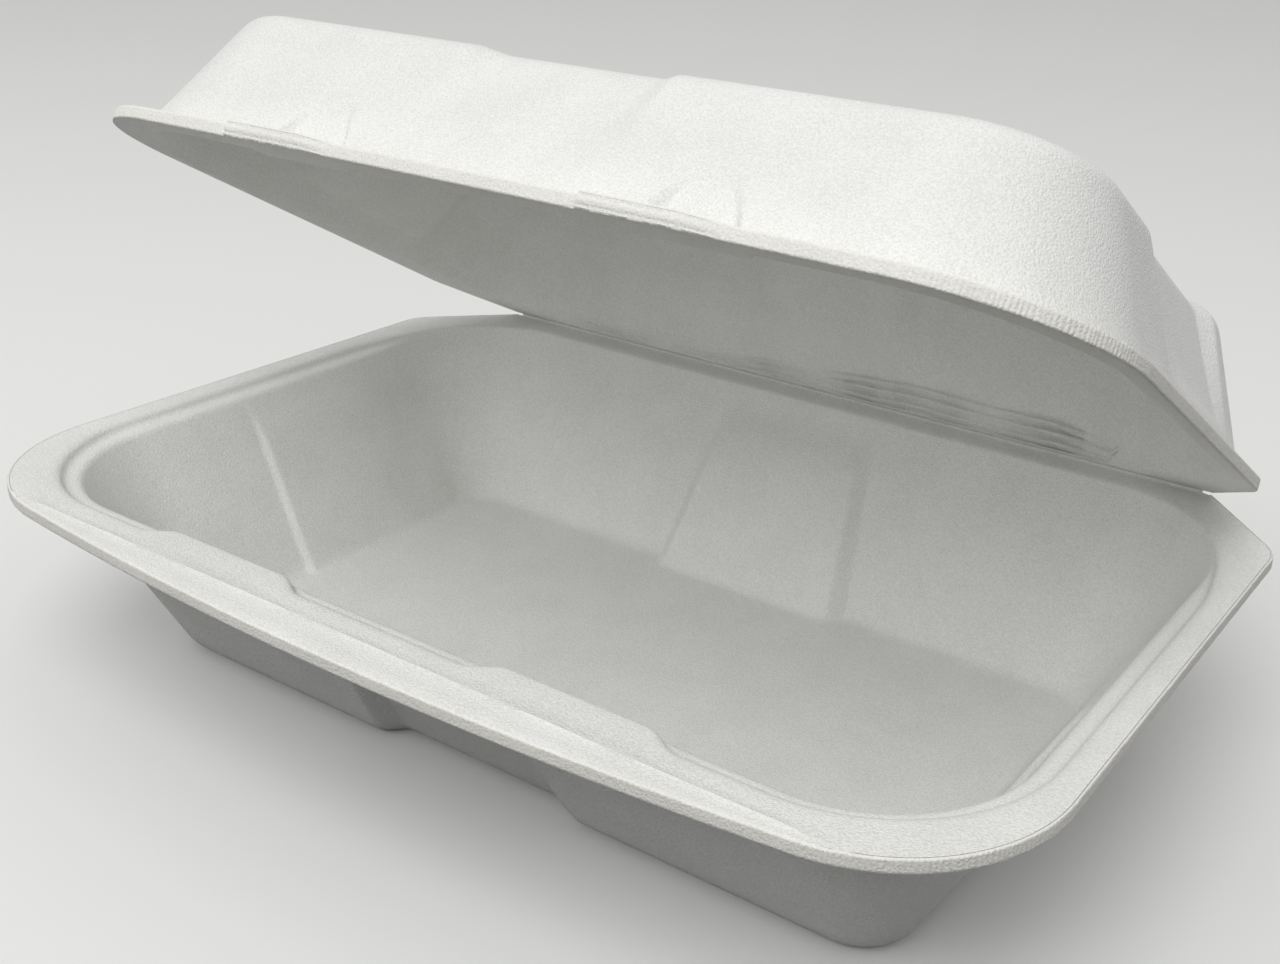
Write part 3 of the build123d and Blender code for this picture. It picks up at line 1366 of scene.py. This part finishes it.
@dataclass
class Studio:
    """Plain pale floor, soft light from above and in front, and the photo's camera."""

    floor_half: float = 20.0
    floor_colour: Colour = (0.86, 0.86, 0.85)
    bounce_colour: Colour = (0.04, 0.04, 0.039)
    floor_rough: float = 0.9
    floor_specular: float = 0.1
    sky_colour: Colour = (1.0, 1.0, 1.0)
    sky_strength: float = 0.57
    lamps: tuple[SoftLamp, ...] = (
        SoftLamp("key_softbox", (0.25, -0.75, 1.2), 1.0, 9.2),
        SoftLamp("fill_softbox", (-0.55, -0.95, 0.8), 0.6, 1.6),
    )
    image_width: float = 1280.0
    image_height: float = 964.0
    focal_px: float = 1543.4
    principal_px: tuple[float, float] = (751.2, 400.7)
    azimuth_deg: float = 32.61
    elevation_deg: float = 20.71
    roll_deg: float = 2.41
    camera_mm: tuple[float, float, float] = (177.9, -233.1, 175.9)
    sensor_mm: float = 36.0
    clip_start: float = 0.01

    def build_floor(self) -> bpy.types.Object:
        """Makes the floor, which is not part of the object.

        Returns:
            The floor.
        """
        half = self.floor_half
        mesh = bpy.data.meshes.new("floor")
        corners = [(-half, -half, 0), (half, -half, 0), (half, half, 0), (-half, half, 0)]
        mesh.from_pydata(corners, [], [(0, 1, 2, 3)])
        floor = bpy.data.objects.new("floor", mesh)
        bpy.context.scene.collection.objects.link(floor)
        material = bpy.data.materials.new("floor_paint")
        material.use_nodes = True
        graph = Graph(material.node_tree)
        path = graph.node("ShaderNodeLightPath", {}).outputs
        seen = graph.math("MAXIMUM", path["Is Camera Ray"], path["Is Glossy Ray"])
        seen = graph.math("MAXIMUM", seen, path["Is Transmission Ray"])
        paint = {
            "Base Color": graph.ramp(seen, self.bounce_colour, self.floor_colour),
            "Roughness": self.floor_rough,
            "Specular IOR Level": self.floor_specular,
        }
        graph.feed(material.node_tree.nodes["Principled BSDF"], paint)
        mesh.materials.append(material)
        return floor

    def build_lights(self) -> None:
        """Makes the sky and the soft lamps."""
        world = bpy.data.worlds.new("studio_sky")
        bpy.context.scene.world = world
        world.use_nodes = True
        sky = world.node_tree.nodes["Background"]
        sky.inputs["Color"].default_value = (*self.sky_colour, 1.0)
        sky.inputs["Strength"].default_value = self.sky_strength
        for lamp in self.lamps:
            lamp.build()

    def build_camera(self) -> bpy.types.Object:
        """Makes the camera at the photo's place, angle, lens and framing.

        Returns:
            The camera.
        """
        turn, lift = math.radians(self.azimuth_deg), math.radians(self.elevation_deg)
        level = math.cos(lift)
        back = Vector((math.sin(turn) * level, -math.cos(turn) * level, math.sin(lift)))
        right = (-back).cross(Vector((0.0, 0.0, 1.0))).normalized()
        up = back.cross(right)
        axes = Matrix((right, up, back)).transposed()
        axes = axes @ Matrix.Rotation(math.radians(self.roll_deg), 3, "Z")
        data = bpy.data.cameras.new("photo_camera")
        data.sensor_width = self.sensor_mm
        data.lens = self.focal_px / self.image_width * data.sensor_width
        data.shift_x = (self.image_width / 2 - self.principal_px[0]) / self.image_width
        data.shift_y = (self.principal_px[1] - self.image_height / 2) / self.image_width
        data.clip_start = self.clip_start
        camera = bpy.data.objects.new("photo_camera", data)
        camera.matrix_world = Matrix.Translation(Vector(self.camera_mm) * MM) @ axes.to_4x4()
        bpy.context.scene.collection.objects.link(camera)
        bpy.context.scene.camera = camera
        return camera


def node_size(node: str) -> Array:
    """Length, width and height of a node's box, in millimetres."""
    low, high = (np.array(corner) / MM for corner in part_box(node))
    return high - low


def make_trays() -> tuple[BaseTray, LidTray]:
    """Both trays, with the sizes that the frame gives: lengths, height, crease and opening angle.

    Returns:
        The base and the lid.
    """
    length, _, height = (float(value) for value in node_size("base_tray"))
    lid_length = float(node_size("lid_tray")[0])
    joint = frame["joints"][0]
    _, crease_y, crease_z = (value / MM for value in joint["pos_m"])
    base = BaseTray(
        body="base",
        node="base_tray",
        mouth_length=219.0,
        mouth_front=68.0,
        mouth_rear=69.5,
        mouth_radius=30.0,
        run=22.0,
        depth=height,
        rim=RimOutline(length, front=75.0, bow=8.0, rear=crease_y - CREASE_GAP),
        panels=Panels(
            inset=4.0,
            long_plate_width=44.0,
            long_fade_width=34.0,
            long_side=3.0,
            front_power=0.55,
            rear_power=0.28,
            end_inset=1.6,
            end_plate_width=28.0,
            end_fade_width=24.0,
            end_front_side=1.2,
            end_rear_side=20.0,
            end_shift=4.0,
            end_power=0.2,
        ),
    )
    lid = LidTray(
        body="lid",
        node="lid_tray",
        mouth_length=213.0,
        mouth_front=62.0,
        mouth_rear=crease_y - 1.0,
        mouth_radius=32.0,
        run=12.0,
        depth=31.5,
        rim=RimOutline(lid_length, front=67.2, bow=3.0, rear=crease_y - CREASE_GAP),
        panels=Panels(
            inset=3.0,
            long_plate_width=36.0,
            long_fade_width=32.0,
            long_side=5.0,
            front_power=2.0,
            rear_power=0.5,
            end_inset=3.0,
            end_plate_width=42.0,
            end_fade_width=38.0,
            end_front_side=6.0,
            end_rear_side=4.5,
            end_shift=8.5,
            end_power=0.45,
        ),
        crease_y=crease_y,
        crease_z=crease_z,
        mating_z=2 * crease_z - height,
        open_deg=-joint["range_deg"][0],
    )
    return base, lid


def main() -> None:
    """Builds the trays, their edges and crease, then the studio."""
    logging.basicConfig(level=logging.INFO)
    bpy.context.scene.view_settings.view_transform = "Standard"
    skin_group = FoamSkin().build()
    skin = SKIN.build(skin_group)
    cut = CUT.build(skin_group)
    base, lid = make_trays()
    made = [
        base.build("base_tray_foam", skin),
        lid.build("lid_tray_foam", skin),
        CutEdge(base).build("base_cut_edge", cut),
        CutEdge(lid).build("lid_cut_edge", cut),
        HingeWeb(base, lid).build("hinge_web", skin),
    ]
    for piece in made:
        log.info("%s: %d faces", piece.name, len(piece.data.polygons))
    studio = Studio()
    studio.build_floor()
    studio.build_lights()
    studio.build_camera()


if __name__ == "__main__":
    main()
